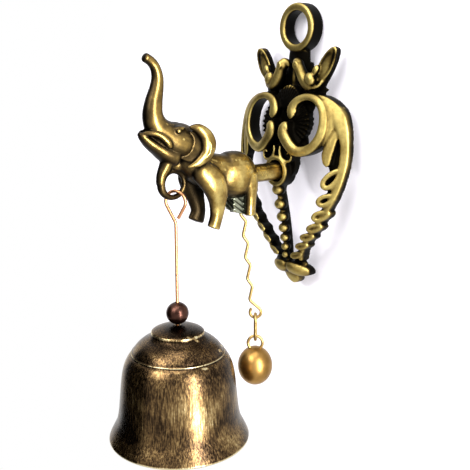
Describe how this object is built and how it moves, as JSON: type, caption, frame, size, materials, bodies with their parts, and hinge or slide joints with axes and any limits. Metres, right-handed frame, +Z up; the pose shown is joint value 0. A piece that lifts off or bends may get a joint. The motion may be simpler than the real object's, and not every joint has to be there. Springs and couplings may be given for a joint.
{
  "type": "doorbell",
  "caption": "Cast doorbell: a domed scrollwork backplate carries an elephant arm that holds a hanging bell and a ball striker on a waved wire.",
  "frame": {"origin": "centre of the hanging hole on the wall plane", "axes": "+Z up, -Y out from the wall towards the bell, +X along the wall to the right of someone facing the wall"},
  "size_m": [0.0518, 0.0771, 0.1369],
  "materials": {
    "cast_brass": "antiqued, dark in the recesses and rubbed bright on high points",
    "elephant_brass": "antiqued olive brown with polished high points",
    "bell_brass": "antiqued, brushed up and down",
    "copper_wire": "drawn wire",
    "brass_wire": "drawn wire",
    "dark_bead": "dark bronzed, polished",
    "ball_brass": "satin golden bronze"
  },
  "bodies": {
    "bracket": {"backplate": "cast_brass", "elephant_arm": "elephant_brass", "striker_stem": "brass_wire"},
    "hanger": {"bell_wire": "copper_wire"},
    "bell": {"bell": "bell_brass", "bead": "dark_bead"},
    "link": {"link": "brass_wire"},
    "striker": {"striker_ball": "ball_brass", "ball_eye": "brass_wire"}
  },
  "joints": [
    {"name": "bell_swing", "type": "hinge", "parent": "bracket", "child": "hanger", "pos_m": [0, -0.055, -0.0509], "axis": [0, 1, 0], "range_deg": [-15, 15]},
    {"name": "bell_spin", "type": "hinge", "parent": "hanger", "child": "bell", "pos_m": [0, -0.0546, -0.09141], "axis": [0, 0, 1], "continuous": true},
    {"name": "link_swing", "type": "hinge", "parent": "bracket", "child": "link", "pos_m": [0.00444, -0.02594, -0.09435], "axis": [-0.6428, -0.766, 0], "range_deg": [-15, 5]},
    {"name": "ball_swing", "type": "hinge", "parent": "link", "child": "striker", "pos_m": [0.00444, -0.02594, -0.102], "axis": [-0.766, 0.6428, 0], "range_deg": [-30, 26]}
  ]
}
